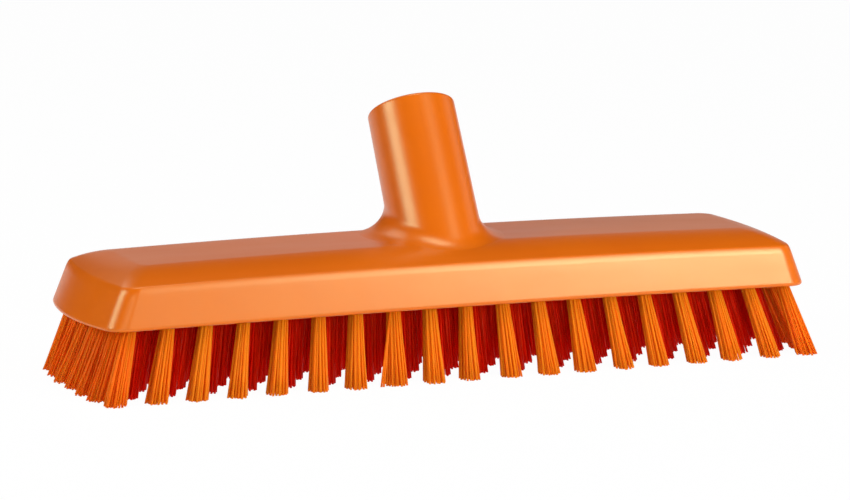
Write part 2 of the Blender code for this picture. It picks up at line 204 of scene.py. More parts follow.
class BlockSettings(bpy.types.PropertyGroup):
    """Sizes of the moulded block."""
    length: length("Length", 0.270, "Overall length along the bottom edge")
    width: length("Width", 0.0655, "Overall width along the bottom edge")
    wall_height: length("Wall height", 0.0145,
                        "Bottom edge to the crease under the roof")
    roof_rise: length("Roof rise", 0.0049, "Crease to the flat top")
    edge_camber: length("Edge camber", 0.0009, "Arch of the bottom edge at its middle")
    crease_camber: length("Crease camber", 0.0015, "Arch of the crease at its middle")
    flat_camber: length("Top camber", 0.0014, "Arch of the flat top at its middle")
    crown: length("Slope crown", 0.0007,
                  "How far the roof slopes swell over a flat slope")
    end_draft: length("End draft", 0.0072, "Lean of the end walls")
    side_draft: length("Side draft", 0.0008, "Lean of the long walls")
    end_slope: length("End slope", 0.0141, "Roof slope at the ends, seen from above")
    side_slope: length("Side slope", 0.0162, "Roof slope at the sides, seen from above")
    edge_radius: length("Edge corner", 0.0074, "Plan radius at the bottom edge's corners")
    crease_radius: length("Crease corner", 0.0062, "Plan radius at the crease's corners")
    flat_radius: length("Top corner", 0.0035, "Plan radius at the flat top's corners")
    edge_bulge: length("Edge bulge", 0.0036, "How far the middle of an end stands out")
    crease_bulge: length("Crease bulge", 0.0024, "The same at the crease")
    edge_fillet: length("Edge fillet", 0.0016, "Rounding of the bottom edge")
    crease_fillet: length("Crease fillet", 0.0011, "Rounding of the crease, on the roof")
    crease_roll: length("Crease roll", 0.0027, "Rounding of the crease, down the wall")
    flat_fillet: length("Top fillet", 0.0010, "Rounding round the flat top")
    hole_width: length("Tuft hole", 0.0053, "Diameter of the tuft holes")
    hole_depth: length("Tuft hole depth", 0.0050, "Open depth of the tuft holes")
    hole_chamfer: length("Tuft hole chamfer", 0.0002, "Chamfer at the tuft holes' mouths")


class SocketSettings(bpy.types.PropertyGroup):
    """Sizes of the handle socket, its bore, its thread and the water passage."""
    tilt: angle("Tilt", 30.5, "Lean of the socket back from the vertical")
    setback: length("Foot setback", 0.0021,
                    "How far the axis meets the top before its middle")
    length: length("Length", 0.0480, "Flat top to rim along the axis")
    rim_width: length("Rim diameter", 0.0309, "Outside diameter at the rim")
    foot_width: length("Foot diameter", 0.0317, "Outside diameter at the foot")
    fillet: length("Foot fillet", 0.0098, "Radius of the flare at the foot")
    rim_rounding: length("Rim rounding", 0.0010, "Radius of the rim's outer edge")
    bore_width: length("Bore diameter", 0.0226,
                       "Diameter of the bore between the threads")
    bore_depth: length("Bore depth", 0.0438, "Rim to the bore's floor")
    bore_chamfer: length("Bore chamfer", 0.0008, "Chamfer at the bore's mouth")
    passage_width: length("Passage diameter", 0.0085, "Diameter of the water passage")
    outlet_flare: length("Outlet flare", 0.0007, "Widening where the water leaves")
    thread_pitch: length("Thread pitch", 0.0051, "Rise of the thread in one turn")
    thread_height: length("Thread height", 0.0012,
                          "How far the thread stands into the bore")
    thread_base: length("Thread base", 0.0027, "Width of the thread at the wall")
    thread_crest: length("Thread crest", 0.0011, "Width of the thread's crest")
    thread_start: length("Thread start", 0.0045, "Rim to the first turn")
    thread_length: length("Thread run", 0.0300, "First to last turn along the axis")


class TuftSettings(bpy.types.PropertyGroup):
    """Sizes of the tufts and their filaments."""
    free_length: length("Free length", 0.0240, "Filament tips to the block's bottom edge")
    column_pitch: length("Column pitch", 0.0136,
                         "Spacing of the tuft holes along the block")
    outer_row: length("Outer row", 0.0282, "Outer rows' holes from the middle")
    end_splay: length("End splay", 0.0068, "Outward lean of the end columns")
    side_splay: length("Side splay", 0.0064, "Outward lean of the outer rows")
    middle_reach: length("Middle reach", 0.0034,
                         "Further lean of the end columns' middle tuft")
    corner_draw: length("Corner draw", 0.0003, "How far the corner tufts lean back in")
    forward_lean: length("Forward lean", 0.0020, "Lean of the rows behind to the front")
    root_width: length("Root width", 0.0053, "Width of a tuft at its hole")
    tip_width: length("Tip width", 0.0081, "Width of a tuft at its tips")
    filament_width: length("Filament diameter", 0.00080, "Diameter of one filament")
    filaments: IntProperty(name="Filaments", default=40, min=3,
                           description="Filaments in a tuft")
    embedded: length("Embedded length", 0.0035, "Filament inside the hole")
    lean_spread: length("Lean spread", 0.00022, "How far whole tufts lean at random")
    wander: length("Wander", 0.00009, "How far a filament strays at random")
    unevenness: length("Unevenness", 0.00010, "How unevenly the tips are cut")
    stray_column: IntProperty(name="Stray column", default=7, min=0,
                              description="Front tuft with two bent filaments")
    stray_lean: length("Stray lean", 0.0062, "How far the bent filaments reach")
    seed: IntProperty(name="Seed", default=11, description="Start of the random leans")


class FinishSettings(bpy.types.PropertyGroup):
    """Colours and surface of the moulding and the filaments."""
    moulding: colour("Moulding", (0.655, 0.124, 0.001), "Colour of the moulded block")
    moulding_deep: colour("Moulding, deeper", (0.635, 0.115, 0.001),
                          "Second tone of the moulded block")
    filament: colour("Filament", (0.998, 0.420, 0.016), "Colour of the lightest filament")
    # painted shade: this deep red on the inner tufts stands in for the shade between the
    # tufts; the side rows and end columns blend a little of it for tone that differs at
    # random
    filament_deep_and_painted_shade: colour("Filament, deeper", (0.998, 0.020, 0.0005),
                          "Colour of the deepest filament")
    translucency: share("Translucency", 0.58, "Light that passes through a filament")
    moulding_roughness: share("Moulding roughness", 0.31,
                              "Mean roughness of the moulding")
    filament_roughness: share("Filament roughness", 0.36, "Mean roughness of a filament")


class StageSettings(bpy.types.PropertyGroup):
    """Camera, lamps and floor."""
    azimuth: angle("Azimuth", -23.20, "Camera's turn round the brush, from its front")
    elevation: angle("Elevation", 10.14, "Camera's height as an angle")
    roll: angle("Roll", 0.68, "Camera's roll")
    distance: length("Distance", 1.52267, "Camera to its target")
    target: FloatVectorProperty(name="Target", default=(-0.00339, 0, 0.03946),
                                subtype="XYZ", unit="LENGTH", precision=5,
                                description="Point in the middle of the view")
    lens: FloatProperty(name="Lens", default=184.80, min=1,
                        description="Focal length in millimetres, on a 36 mm sensor")
    floor_width: length("Floor width", 16.0, "Side of the floor")
    floor_colour: colour("Floor colour", (0.96, 0.96, 0.96), "Colour of the floor")
    floor_white: share("Floor whiteness", 0.975,
                       "How little of the shadows the floor shows")
    low_power: power("Low softbox", 4.6, "Power of the low softbox at the front right")
    key_power: power("Key softbox", 5.4, "Power of the softbox at the front right")
    fill_power: power("Fill softbox", 4.0, "Power of the softbox behind the camera")
    high_power: power("High softbox", 0.6, "Power of the softbox high over the front")
    left_power: power("Left softbox", 5.8, "Power of the softbox at the left")
    right_power: power("Right softbox", 0.5, "Power of the softbox at the right")
    top_power: power("Top softbox", 6.0, "Power of the softbox overhead")
    rear_power: power("Rear softbox", 1.8, "Power of the softbox high behind")
    edge_power: power("Edge softbox", 2.0, "Power of the strip that lights the crease")
    back_power: power("Back softbox", 0.82, "Power of the low softbox behind")
    horizon: share("Horizon light", 0.024, "Light from low all round")
    ambient: share("Ambient light", 0.024, "Light from above all round")


# Shared lengths

def arch(camber, x, half):
    """Height of an arch at x, with its full camber at the middle and none at half."""
    return camber * (1 - (x / half) ** 2)


class BrushShape:
    """Settings of a scene, with the lengths that are worked out from them."""

    def __init__(self, scene):
        self.block = scene.brush_block
        self.socket = scene.brush_socket
        self.tufts = scene.brush_tufts
        block, socket = self.block, self.socket
        self.edge_z = self.tufts.free_length
        self.crease_z = self.edge_z + block.wall_height
        self.flat_z = self.crease_z + block.roof_rise
        self.edge_half = (block.length / 2, block.width / 2)
        self.crease_half = (self.edge_half[0] - block.end_draft,
                            self.edge_half[1] - block.side_draft)
        self.flat_half = (self.crease_half[0] - block.end_slope,
                          self.crease_half[1] - block.side_slope)
        self.axis = Vector((0, math.sin(socket.tilt), math.cos(socket.tilt)))
        self.foot = Vector((0, -socket.setback, self.flat_z + block.flat_camber))
        self.rim = self.foot + self.axis * socket.length
        self.bore_floor = self.rim - self.axis * socket.bore_depth

    def along_socket(self, origin):
        """Matrix that stands a piece's Z axis on the socket's axis at origin."""
        return Matrix.Translation(origin) @ Matrix.Rotation(-self.socket.tilt, 4, "X")

    def underside(self, x):
        """Height of the block's underside, which arches up towards its middle."""
        return self.edge_z + arch(self.block.edge_camber, x, self.edge_half[0])

    def roof(self, x, y):
        """Height of the flat top, or of the roof's side slope beyond it."""
        block = self.block
        flat = self.flat_z + arch(block.flat_camber, x, self.flat_half[0])
        crease = self.crease_z + arch(block.crease_camber, x, self.crease_half[0])
        down = max(0, (abs(y) - self.flat_half[1]) / block.side_slope)
        return flat + (crease - flat) * down + 4 * block.crown * down * (1 - down)

    def column_x(self, column):
        """Middle of a column's tuft holes, along the block."""
        return (column - MIDDLE_COLUMN) * self.tufts.column_pitch

    def tuft_root(self, column, row):
        """Middle of a tuft hole's mouth."""
        x = self.column_x(column)
        y = self.tufts.outer_row * (2 * row / LAST_ROW - 1)
        return Vector((x, y, self.underside(x)))

    def tuft_tip(self, column, row):
        """Middle of a tuft's tips.

        The tips splay out from the middle, stand in a bow at the ends, and lean
        further to the front in each row behind.
        """
        tufts = self.tufts
        along = 2 * column / LAST_COLUMN - 1
        across = 2 * row / LAST_ROW - 1
        x = self.column_x(column) + tufts.end_splay * along
        y = (tufts.outer_row + tufts.side_splay) * across
        if column in END_COLUMNS:
            bow = (tufts.middle_reach
                   - (tufts.middle_reach + tufts.corner_draw) * across ** END_BOW_POWER)
            x += math.copysign(bow, along)
        elif row == 0:
            x += FRONT_LEANS[column] * LEAN_STEP
        return Vector((x, y - tufts.forward_lean * (1 + across), 0))


def places_of(strip):
    """Columns and rows of the tufts that stand for a strip of the solids.

    Every second row stands half a pitch further out, except in the end columns, and
    the middle strip has two tufts in each such row. The strips beside the middle one
    have a tuft more, which keeps clear of the water outlet.
    """
    words = strip.split("_")
    column = int(words[2]) - 1
    side = math.copysign(1, column - MIDDLE_COLUMN)
    places = []
    for row in HALF_ROWS[words[3]] if len(words) > 3 else range(ROWS):
        if row % 2 == 0 or column in END_COLUMNS:
            places.append((column, row))
        elif column == MIDDLE_COLUMN:
            places += [(column - STAGGER, row), (column + STAGGER, row)]
        else:
            places.append((column + side * STAGGER, row))
    if abs(column - MIDDLE_COLUMN) == 1:
        places.append((MIDDLE_COLUMN + side * OUTLET_STAGGER, MIDDLE_ROW))
    return places


def tones_and_painted_shade_of(column, row):
    """Range of a tuft's tones: deepest inside the field as painted shade between the
    tufts, lighter for the end columns and lightest for the side rows.
    """
    if column in END_COLUMNS:
        return END_TONES
    return SIDE_TONES if row in SIDE_ROWS else INNER_PAINTED_SHADE_TONES


# Making meshes

def piece_from(bm, name, finish=None):
    """Turns a bmesh into an object with outward faces."""
    bmesh.ops.recalc_face_normals(bm, faces=bm.faces)
    mesh = bpy.data.meshes.new(name)
    bm.to_mesh(mesh)
    bm.free()
    piece = bpy.data.objects.new(name, mesh)
    bpy.context.scene.collection.objects.link(piece)
    if finish:
        mesh.materials.append(finish)
    return piece


def combine(piece, cutter, operation):
    """Cuts the cutter out of the piece or adds it, and removes the cutter."""
    step = piece.modifiers.new(operation.lower(), "BOOLEAN")
    step.operation = operation
    step.solver = "EXACT"
    step.object = cutter
    evaluated = piece.evaluated_get(bpy.context.evaluated_depsgraph_get())
    old, cut = piece.data, bpy.data.meshes.new_from_object(evaluated)
    if len(cut.polygons) == 0:
        raise RuntimeError("nothing is left of %s after %s" % (piece.name, cutter.name))
    piece.modifiers.clear()
    piece.data = cut
    bpy.data.meshes.remove(old)
    bpy.data.objects.remove(cutter, do_unlink=True)


def shade_smooth(piece):
    """Smooth shading, kept sharp where faces meet at more than the smooth angle."""
    piece.data.shade_smooth()
    piece.data.set_sharp_from_angle(angle=SMOOTH_ANGLE)


def skin(bm, rings):
    """Joins each ring to the next with a band of quads, and returns their vertices."""
    rows = [[bm.verts.new(point) for point in points] for points in rings]
    for low, high in zip(rows, rows[1:]):
        for i in range(len(low)):
            j = (i + 1) % len(low)
            bm.faces.new((low[i], low[j], high[j], high[i]))
    return rows


def turned(bm, profile, sides, place):
    """Closed solid turned round an axis, from (radius, height) pairs in order."""
    rings = [[place @ Vector((radius * math.cos(2 * math.pi * i / sides),
                              radius * math.sin(2 * math.pi * i / sides), height))
              for i in range(sides)] for radius, height in profile]
    rows = skin(bm, rings)
    bm.faces.new(rows[0])
    bm.faces.new(reversed(rows[-1]))


# Moulded block

def outline(half, radius, bulge):
    """Plan outline of the block, anticlockwise from the middle of the +X end.

    The ends bow out by bulge between the round corners' centres and run smoothly
    into the corners, and the sides are straight.
    """
    half_length, half_width = half
    lean = math.atan2(2 * bulge, half_width - radius)
    reach = half_width - radius * (1 - math.sin(lean))
    centre_x = half_length - radius - bulge
    bow = (half_length - centre_x - radius * math.cos(lean)) / reach ** 2
    quarter = []
    for step in range(END_STEPS):
        y = reach * step / END_STEPS
        quarter.append((half_length - bow * y * y, y))
    for step in range(CORNER_STEPS):
        turn = lean + (math.pi / 2 - lean) * step / CORNER_STEPS
        quarter.append((centre_x + radius * math.cos(turn),
                        half_width - radius + radius * math.sin(turn)))
    for step in range(SIDE_STEPS):
        quarter.append((centre_x * (1 - step / SIDE_STEPS), half_width))
    back = quarter + [(0, half_width)] + [(-x, y) for x, y in reversed(quarter)]
    front = [(x, -y) for x, y in reversed(back[1:-1])]
    return back + front


def ring(half, radius, bulge, z, camber, inset=0):
    """The outline at height z, drawn in by inset and arched up by camber."""
    half_length = half[0]
    points = outline((half_length - inset, half[1] - inset), radius - inset, bulge)
    return [Vector((x, y, z + arch(camber, x, half_length))) for x, y in points]


def moved(corner, toward, distance):
    """Each point of corner moved toward its partner by distance."""
    return [a + (b - a).normalized() * distance for a, b in zip(corner, toward)]


def bent(before, corner, after, steps):
    """Rings that round off the corner ring between before and after."""
    rings = []
    for step in range(steps + 1):
        t = step / steps
        rings.append([a * (1 - t) ** 2 + b * 2 * t * (1 - t) + c * t ** 2
                      for a, b, c in zip(before, corner, after)])
    return rings


def cross_cap(bm, row):
    """Closes an outline: one face at each end, and strips from side to side between."""
    half = len(row) // 2
    end = END_STEPS + 1
    bm.faces.new(row[-end:] + row[:end + 1])
    bm.faces.new(row[half - end:half + end + 1])
    for i in range(end, half - end):
        bm.faces.new((row[i], row[i + 1], row[-i - 1], row[-i]))


def block_body(shape, finish):
    """The long block with its sloped roof, without the socket."""
    block = shape.block
    low = (shape.edge_half, block.edge_radius, block.edge_bulge, shape.edge_z,
           block.edge_camber)
    high = (shape.flat_half, block.flat_radius, 0, shape.flat_z, block.flat_camber)
    edge, floor = ring(*low), ring(*low, block.edge_fillet)
    crease = ring(shape.crease_half, block.crease_radius, block.crease_bulge,
                  shape.crease_z, block.crease_camber)
    flat, top = ring(*high), ring(*high, block.flat_fillet)
    swell = [(a + b) / 2 + Vector((0, 0, 2 * block.crown)) for a, b in zip(crease, flat)]
    slope_foot = moved(crease, swell, block.crease_fillet)
    slope_head = moved(flat, swell, block.flat_fillet)
    rings = bent(floor, edge, moved(edge, crease, block.edge_fillet), FILLET_STEPS)
    wall_head = moved(crease, edge, block.crease_roll)
    rings += bent(wall_head, crease, slope_foot, CREASE_STEPS)
    rings += bent(slope_foot, swell, slope_head, SLOPE_STEPS)[1:-1]
    rings += bent(slope_head, flat, top, FILLET_STEPS)
    bm = bmesh.new()
    rows = skin(bm, rings)
    cross_cap(bm, rows[0])
    cross_cap(bm, rows[-1])
    return piece_from(bm, "moulded_block", finish)


def socket_point(shape, turn, along, inset=0):
    """Point on the socket's outside, at an angle round the axis."""
    socket = shape.socket
    foot, rim = socket.foot_width / 2, socket.rim_width / 2
    radius = foot + (rim - foot) * along / socket.length - inset
    back = Vector((0, shape.axis.z, -shape.axis.y))
    outward = Vector((math.cos(turn), 0, 0)) + back * math.sin(turn)
    return shape.foot + shape.axis * along + outward * radius


def meets_roof(shape, turn):
    """Where the socket's side at this angle would run into the roof."""
    low, high = -shape.socket.foot_width, shape.socket.length
    for _ in range(SEARCH_STEPS):
        middle = (low + high) / 2
        point = socket_point(shape, turn, middle)
        if point.z > shape.roof(point.x, point.y):
            high = middle
        else:
            low = middle
    return socket_point(shape, turn, high)


def foot_arc(shape, turn):
    """Points of the fillet from the socket's side down to the roof."""
    corner = meets_roof(shape, turn)
    away = Vector((math.cos(turn), math.sin(turn) * shape.axis.z, 0)).normalized()
    room = shape.crease_half[1] - shape.block.crease_fillet - abs(corner.y)
    room /= max(abs(away.y), MERGE_DISTANCE)
    reach = shape.socket.fillet
    for _ in range(SEARCH_STEPS):
        x, y = corner.x + away.x * reach, corner.y + away.y * reach
        landing = Vector((x, y, shape.roof(x, y)))
        out = (landing - corner).normalized()
        half_angle = shape.axis.angle(out) / 2
        reach = min(shape.socket.fillet / math.tan(half_angle), room)
    start = corner + shape.axis * reach
    landing = corner + out * reach
    centre = corner + (shape.axis + out).normalized() * (reach / math.cos(half_angle))
    sweep = math.pi - 2 * half_angle
    points = []
    for step in range(FOOT_STEPS + 1):
        t = step / FOOT_STEPS
        points.append(centre
                      + (start - centre) * (math.sin((1 - t) * sweep) / math.sin(sweep))
                      + (landing - centre) * (math.sin(t * sweep) / math.sin(sweep)))
    x, y = points[-1].x, points[-1].y
    points[-1] = Vector((x, y, shape.roof(x, y) - SEAM_DEPTH))
    return points + [Vector((x, y, shape.crease_z))]


def socket_outside(shape):
    """The socket with its rounded rim and flared foot, as one closed loft."""
    socket = shape.socket
    columns = []
    for side in range(SOCKET_SIDES):
        turn = 2 * math.pi * side / SOCKET_SIDES
        rim = []
        for step in range(FILLET_STEPS + 1):
            tip = math.pi / 2 * step / FILLET_STEPS
            along = socket.length - socket.rim_rounding * (1 - math.cos(tip))
            inset = socket.rim_rounding * (1 - math.sin(tip))
            rim.append(socket_point(shape, turn, along, inset))
        columns.append(rim + foot_arc(shape, turn))
    bm = bmesh.new()
    rows = skin(bm, [list(points) for points in zip(*columns)])
    bm.faces.new(rows[0])
    bm.faces.new(reversed(rows[-1]))
    return piece_from(bm, "socket_outside")


def bore(shape):
    """Cutter for the blind bore, with a chamfered mouth."""
    socket = shape.socket
    radius = socket.bore_width / 2
    wide = radius + socket.bore_chamfer + OVERRUN
    bm = bmesh.new()
    turned(bm, [(wide, OVERRUN), (radius, -socket.bore_chamfer),
                (radius, -socket.bore_depth + socket.bore_chamfer),
                (radius - socket.bore_chamfer, -socket.bore_depth)],
           BORE_SIDES, shape.along_socket(shape.rim))
    return piece_from(bm, "bore")


def water_passage(shape):
    """Cutter for the upright passage from the bore's floor to its outlet."""
    socket = shape.socket
    radius = socket.passage_width / 2
    top = shape.bore_floor.z + radius * math.tan(socket.tilt) + OVERRUN
    mouth = shape.underside(0)
    bm = bmesh.new()
    turned(bm, [(radius, top), (radius, mouth + socket.outlet_flare),
                (radius + socket.outlet_flare + OVERRUN, mouth - OVERRUN)],
           PASSAGE_SIDES, Matrix.Translation((0, shape.bore_floor.y, 0)))
    return piece_from(bm, "water_passage")


def tuft_holes(shape):
    """Cutter for every tuft hole, each drilled along its tuft."""
    block = shape.block
    radius = block.hole_width / 2
    bm = bmesh.new()
    for strip in STRIPS:
        for column, row in places_of(strip):
            root, tip = shape.tuft_root(column, row), shape.tuft_tip(column, row)
            into = (root - tip).to_track_quat("Z", "Y").to_matrix().to_4x4()
            turned(bm, [(radius + block.hole_chamfer + OVERRUN, -OVERRUN),
                        (radius, block.hole_chamfer), (radius, block.hole_depth)],
                   HOLE_SIDES, Matrix.Translation(root) @ into)
    return piece_from(bm, "tuft_holes")


# Thread

def thread_ridge(shape, finish):
    """One helical ridge round the bore's wall, which fades out at both ends."""
    socket = shape.socket
    wall = socket.bore_width / 2
    turns = socket.thread_length / socket.thread_pitch
    steps = round(turns * THREAD_STEPS)
    place = shape.along_socket(shape.rim)
    rings = []
    for step in range(steps + 1):
        done = turns * step / steps
        fade = min(1, done / THREAD_TAPER_TURNS, (turns - done) / THREAD_TAPER_TURNS)
        fade = math.sin(fade * math.pi / 2)
        height = socket.thread_height * fade
        base = socket.thread_base / 2 * fade + MERGE_DISTANCE
        crest = socket.thread_crest / 2 * fade + MERGE_DISTANCE / 2
        middle = -socket.thread_start - done * socket.thread_pitch
        turn = Matrix.Rotation(-2 * math.pi * done, 4, "Z")
        upper = [(wall + THREAD_WALL_DEPTH, base * THREAD_WALL_WIDTH), (wall, base),
                 (wall - height * THREAD_SHOULDER_HEIGHT, crest * THREAD_SHOULDER_WIDTH),
                 (wall - height, crest * THREAD_CREST_WIDTH)]
        profile = upper + [(radius, -rise) for radius, rise in reversed(upper)]
        rings.append([place @ turn @ Vector((radius, 0, middle + rise))
                      for radius, rise in profile])
    bm = bmesh.new()
    rows = skin(bm, rings)
    bm.faces.new(rows[0])
    bm.faces.new(reversed(rows[-1]))
    return piece_from(bm, "handle_thread", finish)


# Tufts

def filament(path, radius, verts, faces, smooth):
    """Adds one filament along a path from its root to its tip, closed at both ends."""
    first = len(verts)
    for point in path:
        for side in range(FILAMENT_SIDES):
            turn = 2 * math.pi * side / FILAMENT_SIDES
            verts.append((point.x + radius * math.cos(turn),
                          point.y + radius * math.sin(turn), point.z))
    for span in range(len(path) - 1):
        low = first + span * FILAMENT_SIDES
        for side in range(FILAMENT_SIDES):
            after = (side + 1) % FILAMENT_SIDES
            faces.append((low + side, low + FILAMENT_SIDES + side,
                          low + FILAMENT_SIDES + after, low + after))
            smooth.append(True)
    last = first + (len(path) - 1) * FILAMENT_SIDES
    faces.append(tuple(range(first, first + FILAMENT_SIDES)))
    faces.append(tuple(reversed(range(last, last + FILAMENT_SIDES))))
    smooth += [False, False]


def filament_path(shape, root, tip, flare):
    """Points from inside the hole to the tip, bending a little away from straight."""
    points = []
    into = (root - tip).normalized() * shape.tufts.embedded
    points.append(root + into)
    for span in range(1, FILAMENT_SPANS + 1):
        t = span / FILAMENT_SPANS
        points.append(root.lerp(tip, t) + flare * math.sin(math.pi * t))
    return points


def tuft_filaments(shape, column, row, chance):
    """Path of every filament in one tuft."""
    tufts = shape.tufts
    root, tip = shape.tuft_root(column, row), shape.tuft_tip(column, row)
    tip += Vector((chance.gauss(0, tufts.lean_spread),
                   chance.gauss(0, tufts.lean_spread), 0))
    root_reach = (tufts.root_width - tufts.filament_width) / 2
    tip_reach = (tufts.tip_width - tufts.filament_width) / 2 * chance.uniform(*TIP_WIDTHS)
    spin = chance.uniform(0, 2 * math.pi)
    paths = []
    for i in range(tufts.filaments):
        out = math.sqrt((i + 0.5) / tufts.filaments)
        turn = spin + i * GOLDEN_TURN
        aim = Vector((math.cos(turn), math.sin(turn), 0))
        stray = Vector((chance.gauss(0, tufts.wander), chance.gauss(0, tufts.wander), 0))
        end = tip + aim * out * tip_reach + stray * TIP_WANDER
        end.z = min(abs(chance.gauss(0, tufts.unevenness)),
                    TIP_SHORTFALL * tufts.unevenness)
        bow = Vector((chance.gauss(0, tufts.wander), chance.gauss(0, tufts.wander), 0))
        bow -= aim * out * tufts.wander
        paths.append(filament_path(shape, root + aim * out * root_reach, end, bow))
    if row == 0 and column == tufts.stray_column:
        aside = -root_reach * STRAY_ROOT_SHARE
        start = root + Vector((aside, aside, 0))
        for reach in STRAY_REACHES:
            end = tip + Vector((-tufts.stray_lean * reach, -tip_reach / 2, 0))
            end.z = tufts.unevenness
            paths.append(filament_path(shape, start, end, Vector((0, 0, 0))))
    return paths


def tuft_row(shape, strip, finish, chance):
    """All the tufts of one strip, as one piece."""
    verts, faces, smooth, tones = [], [], [], []
    for column, row in places_of(strip):
        for path in tuft_filaments(shape, column, row, chance):
            # each filament's tone; the inner tufts' deep tones are painted shade between
            # the tufts
            tone = chance.uniform(*tones_and_painted_shade_of(column, row))
            filament(path, shape.tufts.filament_width / 2, verts, faces, smooth)
            tones += [tone] * (len(verts) - len(tones))
    name = strip.replace("tuft_strip", "filaments")
    mesh = bpy.data.meshes.new(name)
    mesh.from_pydata(verts, [], faces)
    mesh.polygons.foreach_set("use_smooth", smooth)
    attribute = mesh.attributes.new(TONE_AND_SHADE_ATTRIBUTE, "FLOAT", "POINT")
    attribute.data.foreach_set("value", tones)
    mesh.materials.append(finish)
    mesh.update()
    piece = bpy.data.objects.new(name, mesh)
    bpy.context.scene.collection.objects.link(piece)
    return piece


# Finishes

class Finish:
    """A material and short calls for laying out its nodes."""

    def __init__(self, name):
        self.material = bpy.data.materials.new(name)
        self.material.use_nodes = True
        self.tree = self.material.node_tree
        self.tree.nodes.clear()
        self.output = self.tree.nodes.new("ShaderNodeOutputMaterial")

    def node(self, kind, **values):
        """A new node of a kind, with its properties set."""
        made = self.tree.nodes.new(kind)
        for name, value in values.items():
            setattr(made, name, value)
        return made

    def link(self, source, target):
        """Leads an output into an input."""
        self.tree.links.new(source, target)

    def noise(self, place, scale, detail, stretch=(1, 1, 1)):
        """Noise in metres of the object, stretched along an axis if asked."""
        mapping = self.node("ShaderNodeMapping")
        mapping.inputs["Scale"].default_value = stretch
        self.link(place, mapping.inputs["Vector"])
        noise = self.node("ShaderNodeTexNoise")
        noise.inputs["Scale"].default_value = scale
        noise.inputs["Detail"].default_value = detail
        self.link(mapping.outputs["Vector"], noise.inputs["Vector"])
        return noise.outputs["Fac"]

    def ranged(self, value, low, high, start=0.0, end=1.0):
        """A value from start to end, mapped to low to high."""
        mapped = self.node("ShaderNodeMapRange")
        mapped.inputs["From Min"].default_value = start
        mapped.inputs["From Max"].default_value = end
        mapped.inputs["To Min"].default_value = low
        mapped.inputs["To Max"].default_value = high
        self.link(value, mapped.inputs["Value"])
        return mapped.outputs["Result"]

    def blend(self, factor, first, second):
        """Two colours mixed by a factor."""
        mix = self.node("ShaderNodeMix", data_type="RGBA")
        ends = [socket for socket in mix.inputs if socket.type == "RGBA"]
        ends[0].default_value = (*first, 1)
        ends[1].default_value = (*second, 1)
        self.link(factor, mix.inputs["Factor"])
        return [s for s in mix.outputs if s.type == "RGBA"][0]

    def bump(self, height, distance, strength, before=None):
        """Bump of a height in metres, over an earlier bump if there is one."""
        bump = self.node("ShaderNodeBump")
        bump.inputs["Strength"].default_value = strength
        bump.inputs["Distance"].default_value = distance
        self.link(height, bump.inputs["Height"])
        if before:
            self.link(before, bump.inputs["Normal"])
        return bump.outputs["Normal"]


def satin_moulding(settings):
    """Satin orange plastic: fine grain, faint flow lines and a slow change of tone."""
    finish = Finish("satin_orange_moulding")
    place = finish.node("ShaderNodeTexCoord").outputs["Object"]
    slow = finish.noise(place, *SLOW_TONE)
    fine = finish.noise(place, *FINE_GRAIN)
    wave = finish.noise(place, *WAVES)
    flow = finish.noise(place, *FLOW_LINES)
    shader = finish.node("ShaderNodeBsdfPrincipled")
    tone = finish.ranged(slow, 0, 1, *TONE_SPAN)
    finish.link(finish.blend(tone, settings.moulding, settings.moulding_deep),
                shader.inputs["Base Color"])
    mean, spread = settings.moulding_roughness, MOULDING_ROUGHNESS_SPREAD
    finish.link(finish.ranged(flow, mean - spread, mean + spread, *FLOW_SPAN),
                shader.inputs["Roughness"])
    shader.inputs["Specular IOR Level"].default_value = SPECULAR_LEVEL
    shader.inputs["Specular Tint"].default_value = MOULDING_TINT
    shader.inputs["IOR"].default_value = MOULDING_IOR
    slow_bump = finish.bump(wave, *WAVE_BUMP)
    finish.link(finish.bump(fine, *GRAIN_BUMP, slow_bump), shader.inputs["Normal"])
    finish.link(shader.outputs["BSDF"], finish.output.inputs["Surface"])
    return finish.material


def orange_filament(settings):
    """Translucent orange filament, each in its own tone with fine streaks; the deep tones
    of the inner tufts are painted shade.
    """
    finish = Finish("orange_filament")
    place = finish.node("ShaderNodeTexCoord").outputs["Object"]
    # the tone attribute also carries the painted shade of the inner tufts
    tone = finish.node("ShaderNodeAttribute", attribute_name=TONE_AND_SHADE_ATTRIBUTE)
    streak = finish.noise(place, *STREAKS)
    colour_of = finish.blend(tone.outputs["Fac"], settings.filament,
                             settings.filament_deep_and_painted_shade)
    shader = finish.node("ShaderNodeBsdfPrincipled")
    finish.link(colour_of, shader.inputs["Base Color"])
    mean, spread = settings.filament_roughness, FILAMENT_ROUGHNESS_SPREAD
    finish.link(finish.ranged(streak, mean - spread, mean + spread, *STREAK_SPAN),
                shader.inputs["Roughness"])
    shader.inputs["Specular IOR Level"].default_value = SPECULAR_LEVEL
    shader.inputs["Specular Tint"].default_value = FILAMENT_TINT
    shader.inputs["IOR"].default_value = FILAMENT_IOR
    finish.link(finish.bump(streak, *STREAK_BUMP), shader.inputs["Normal"])
    through = finish.node("ShaderNodeBsdfTranslucent")
    finish.link(colour_of, through.inputs["Color"])
    mix = finish.node("ShaderNodeMixShader")
    mix.inputs["Fac"].default_value = settings.translucency
    finish.link(shader.outputs["BSDF"], mix.inputs[1])
    finish.link(through.outputs["BSDF"], mix.inputs[2])
    finish.link(mix.outputs["Shader"], finish.output.inputs["Surface"])
    return finish.material


def finish_named(name, make, settings):
    """The finish of that name, made once for all the pieces that wear it."""
    return bpy.data.materials.get(name) or make(settings)


# Stage

def background_rays(tree):
    """1 for a ray from the camera, a mirror or glass, and 0 for one that lights."""
    path = tree.nodes.new("ShaderNodeLightPath")
    total = path.outputs["Is Camera Ray"]
    for name in ("Is Glossy Ray", "Is Transmission Ray"):
        either = tree.nodes.new("ShaderNodeMath")
        either.operation = "MAXIMUM"
        tree.links.new(total, either.inputs[0])
        tree.links.new(path.outputs[name], either.inputs[1])
        total = either.outputs["Value"]
    return total


